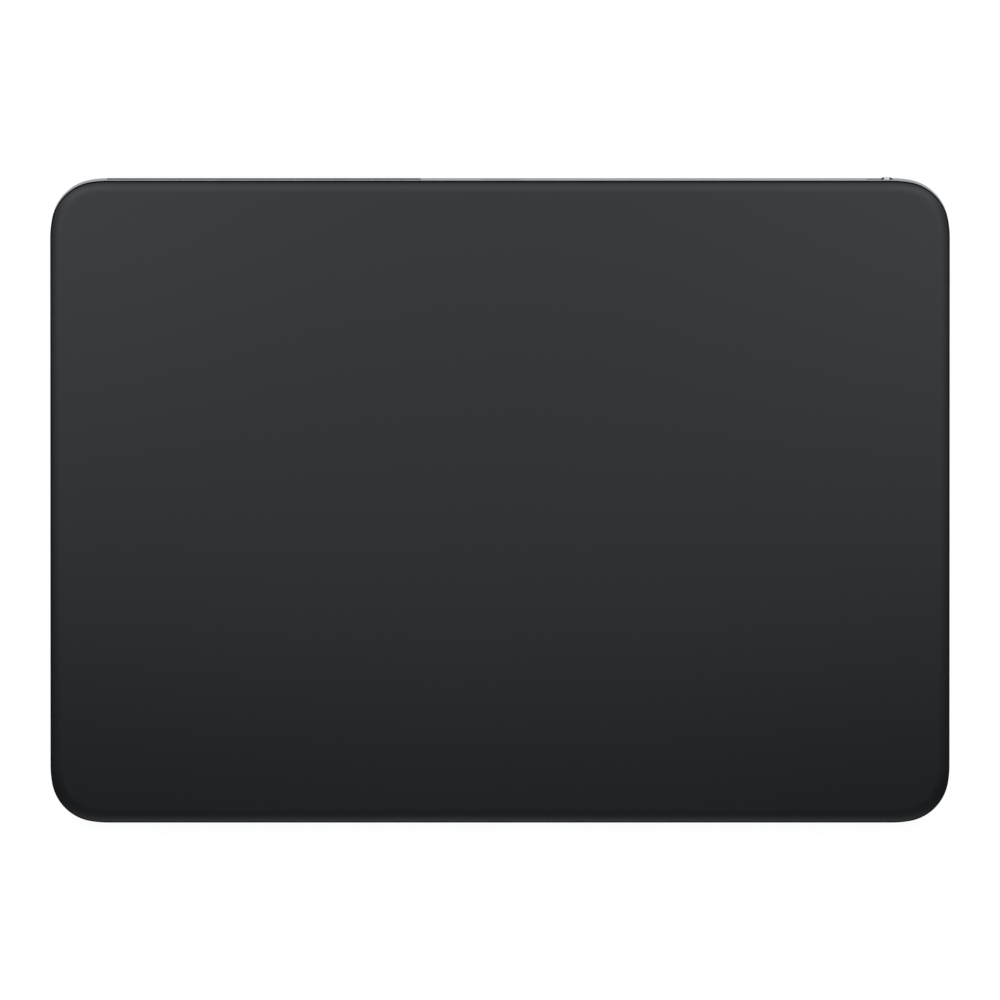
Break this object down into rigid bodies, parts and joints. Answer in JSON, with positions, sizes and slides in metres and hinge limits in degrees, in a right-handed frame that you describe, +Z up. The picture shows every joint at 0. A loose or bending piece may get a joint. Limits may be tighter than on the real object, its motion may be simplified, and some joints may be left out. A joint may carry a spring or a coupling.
{
  "type": "trackpad",
  "caption": "Flat rectangular desk trackpad: sloping black glass touch surface on a thin silver aluminium wedge body, charging socket and power switch in the rear wall.",
  "frame": {"origin": "on the desk under the middle of the body, in the plane of the feet's undersides", "axes": "+X to the user's right along the long side, +Y away from the user to the thick rear edge, +Z up off the desk"},
  "size_m": [0.16, 0.1151, 0.0109],
  "materials": {
    "body_aluminium": "bead blasted and clear anodised, fine satin grain",
    "black_glass": "etched satin black glass with a polished rolled edge",
    "window_plastic": "fine satin grey",
    "knob_metal": "satin",
    "foot_rubber": "matt",
    "gasket_rubber": "matt",
    "gel": "soft silicone gel",
    "adhesive_film": "thin black bonding film",
    "steel_sheet": "rolled stainless sheet",
    "socket_steel": "drawn and nickel plated",
    "magnet_steel": "laminated electrical steel",
    "screw_steel": "zinc plated",
    "coil_copper": "enamelled copper wire",
    "gold_contact": "gold plated",
    "board_laminate": "solder mask over glass fibre laminate",
    "chip_black": "moulded epoxy",
    "shield_steel": "tin plated shield",
    "small_parts": "ceramic",
    "black_nylon": "moulded",
    "antenna_copper": "etched copper on film",
    "cable_jacket": "extruded jacket",
    "flat_cable": "polyimide film",
    "gauge_film": "foil gauge on film",
    "cell_pouch": "laminated pouch"
  },
  "bodies": {
    "housing": {"housing_frame": "body_aluminium", "base_plate": "body_aluminium", "antenna_window": "window_plastic", "foot_front_left": "foot_rubber", "foot_front_right": "foot_rubber", "foot_rear_left": "foot_rubber", "foot_rear_right": "foot_rubber", "gel_pads": "gel", "base_adhesive": "adhesive_film", "battery_adhesive": "adhesive_film", "haptic_bracket": "steel_sheet", "socket_strap": "steel_sheet", "socket_shell": "socket_steel", "haptic_core": "magnet_steel", "board_screws": "screw_steel", "strap_screws": "screw_steel", "haptic_screws": "screw_steel", "haptic_coils": "coil_copper", "socket_contacts": "gold_contact", "switch_terminals": "gold_contact", "logic_board": "board_laminate", "battery_board": "board_laminate", "main_chip": "chip_black", "power_chips": "chip_black", "radio_module": "shield_steel", "board_passives": "small_parts", "board_connectors": "black_nylon", "socket_tongue": "black_nylon", "switch_body": "black_nylon", "antenna_carrier": "black_nylon", "antenna_strip": "antenna_copper", "antenna_cable": "cable_jacket", "battery_flex": "flat_cable", "haptic_flex": "flat_cable", "battery_cell": "cell_pouch"},
    "force_carrier": {"force_beam_front_left": "steel_sheet", "force_beam_front_right": "steel_sheet", "force_beam_rear_left": "steel_sheet", "force_beam_rear_right": "steel_sheet", "strain_gauges": "gauge_film"},
    "touch_plate": {"touch_glass": "black_glass", "edge_gasket": "gasket_rubber", "glass_adhesive": "adhesive_film", "sensor_board": "board_laminate", "touch_chips": "chip_black", "plate_stiffener": "steel_sheet", "sensor_flex": "flat_cable", "attraction_plate": "magnet_steel", "attraction_screws": "screw_steel", "beam_spacers": "steel_sheet", "beam_screws": "screw_steel"},
    "power_slider": {"switch_knob": "knob_metal", "switch_slider": "black_nylon"}
  },
  "joints": [
    {"name": "haptic_shift", "type": "slide", "parent": "housing", "child": "force_carrier", "axis": [0, 0.9986, 0.0533], "range_m": [-0.0001, 0.0001], "stiffness_N_per_m": 20000, "deforming": ["gel_pads"]},
    {"name": "touch_press", "type": "slide", "parent": "force_carrier", "child": "touch_plate", "axis": [0, 0.0533, -0.9986], "range_m": [0, 0.00015], "stiffness_N_per_m": 20000, "springref_m": -0.00015, "deforming": ["force_beam_front_left", "force_beam_front_right", "force_beam_rear_left", "force_beam_rear_right", "sensor_flex"]},
    {"name": "power_switch", "type": "slide", "parent": "housing", "child": "power_slider", "axis": [-1, 0, 0], "range_m": [0, 0.0024]}
  ]
}
